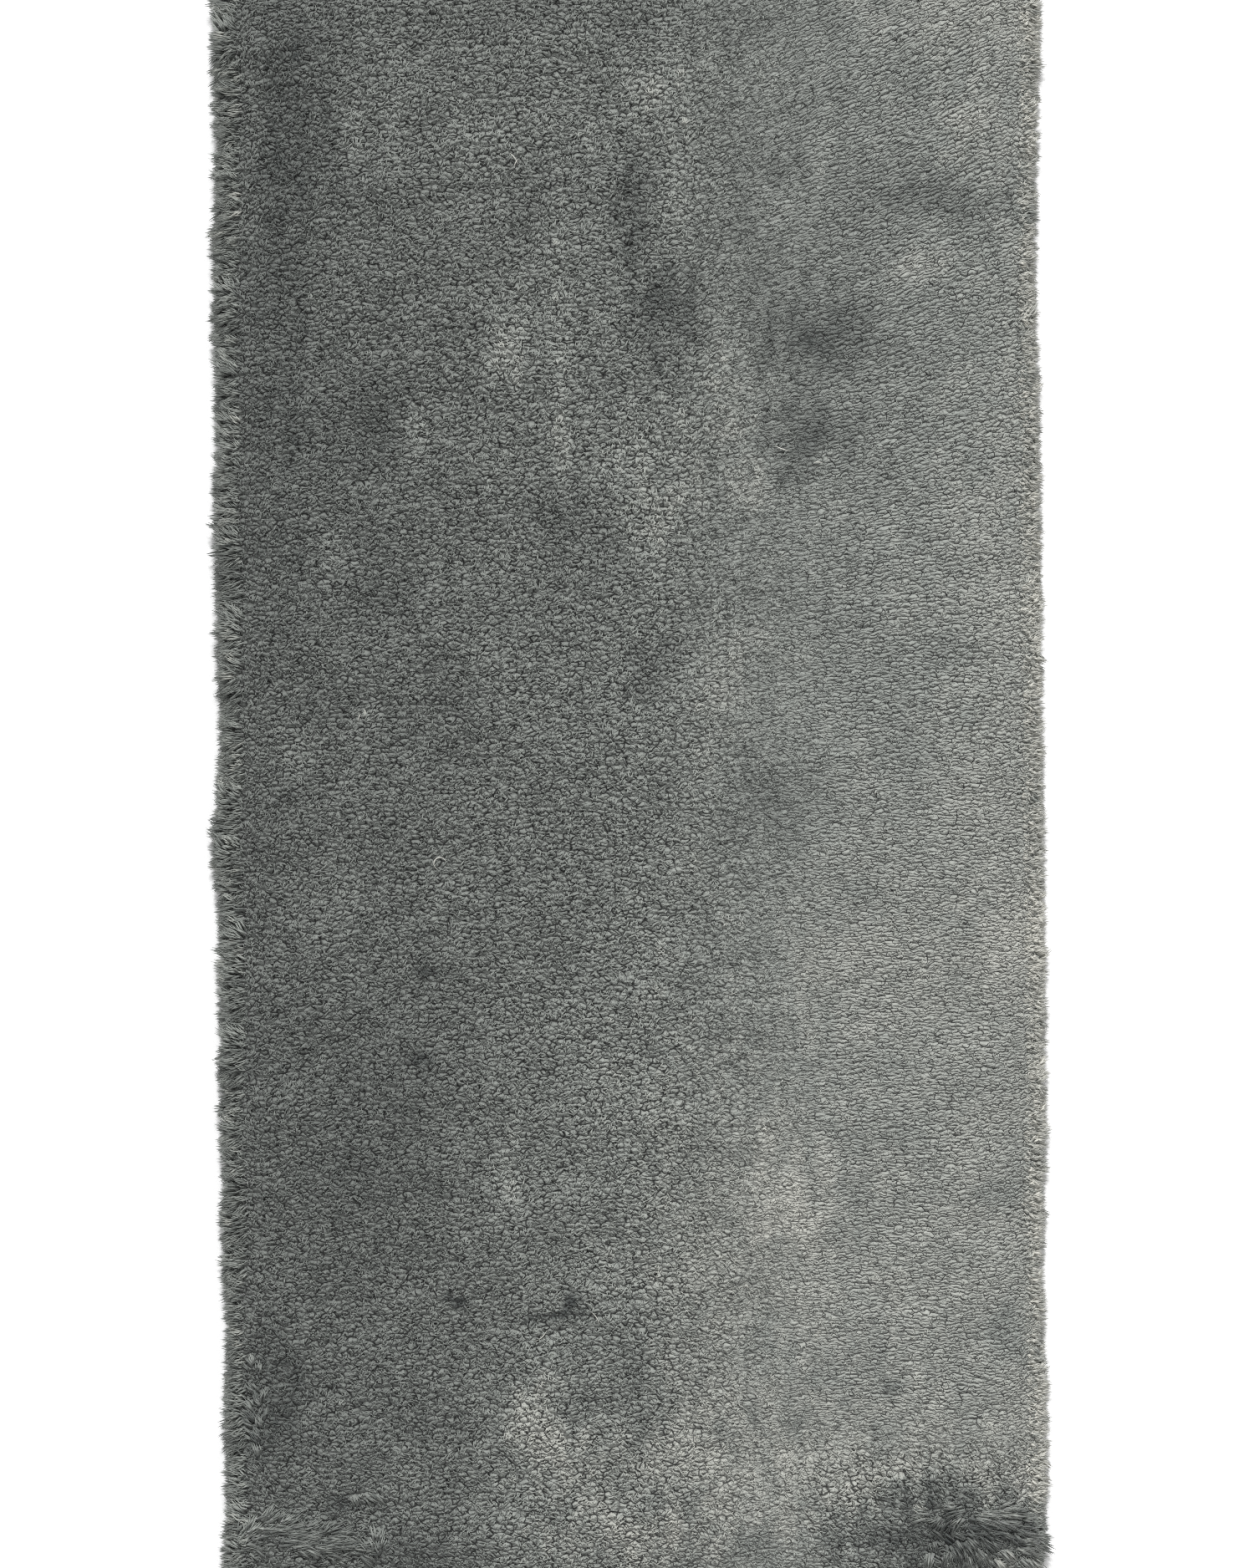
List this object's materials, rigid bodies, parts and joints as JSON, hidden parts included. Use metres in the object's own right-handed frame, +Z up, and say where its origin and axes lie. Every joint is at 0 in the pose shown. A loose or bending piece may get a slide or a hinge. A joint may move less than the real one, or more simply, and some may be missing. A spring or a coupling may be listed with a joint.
{
  "type": "shag rug",
  "caption": "Rectangular charcoal-grey shag rug: dense cut pile tufted through a dark woven backing, with locks of yarn splaying over the rim.",
  "frame": {"origin": "centre of the bounding box on the floor, under the middle of the rug", "axes": "+X across the rug's width, +Y along its length, +Z up out of the pile"},
  "size_m": [0.8, 1.6, 0.0399],
  "materials": {
    "woven_backing": "plain dark weave, overlocked edge",
    "cut_pile": "soft cut polyester pile, slight sheen along the strands"
  },
  "bodies": {
    "root": {"backing": "woven_backing", "pile": "cut_pile"}
  },
  "joints": []
}
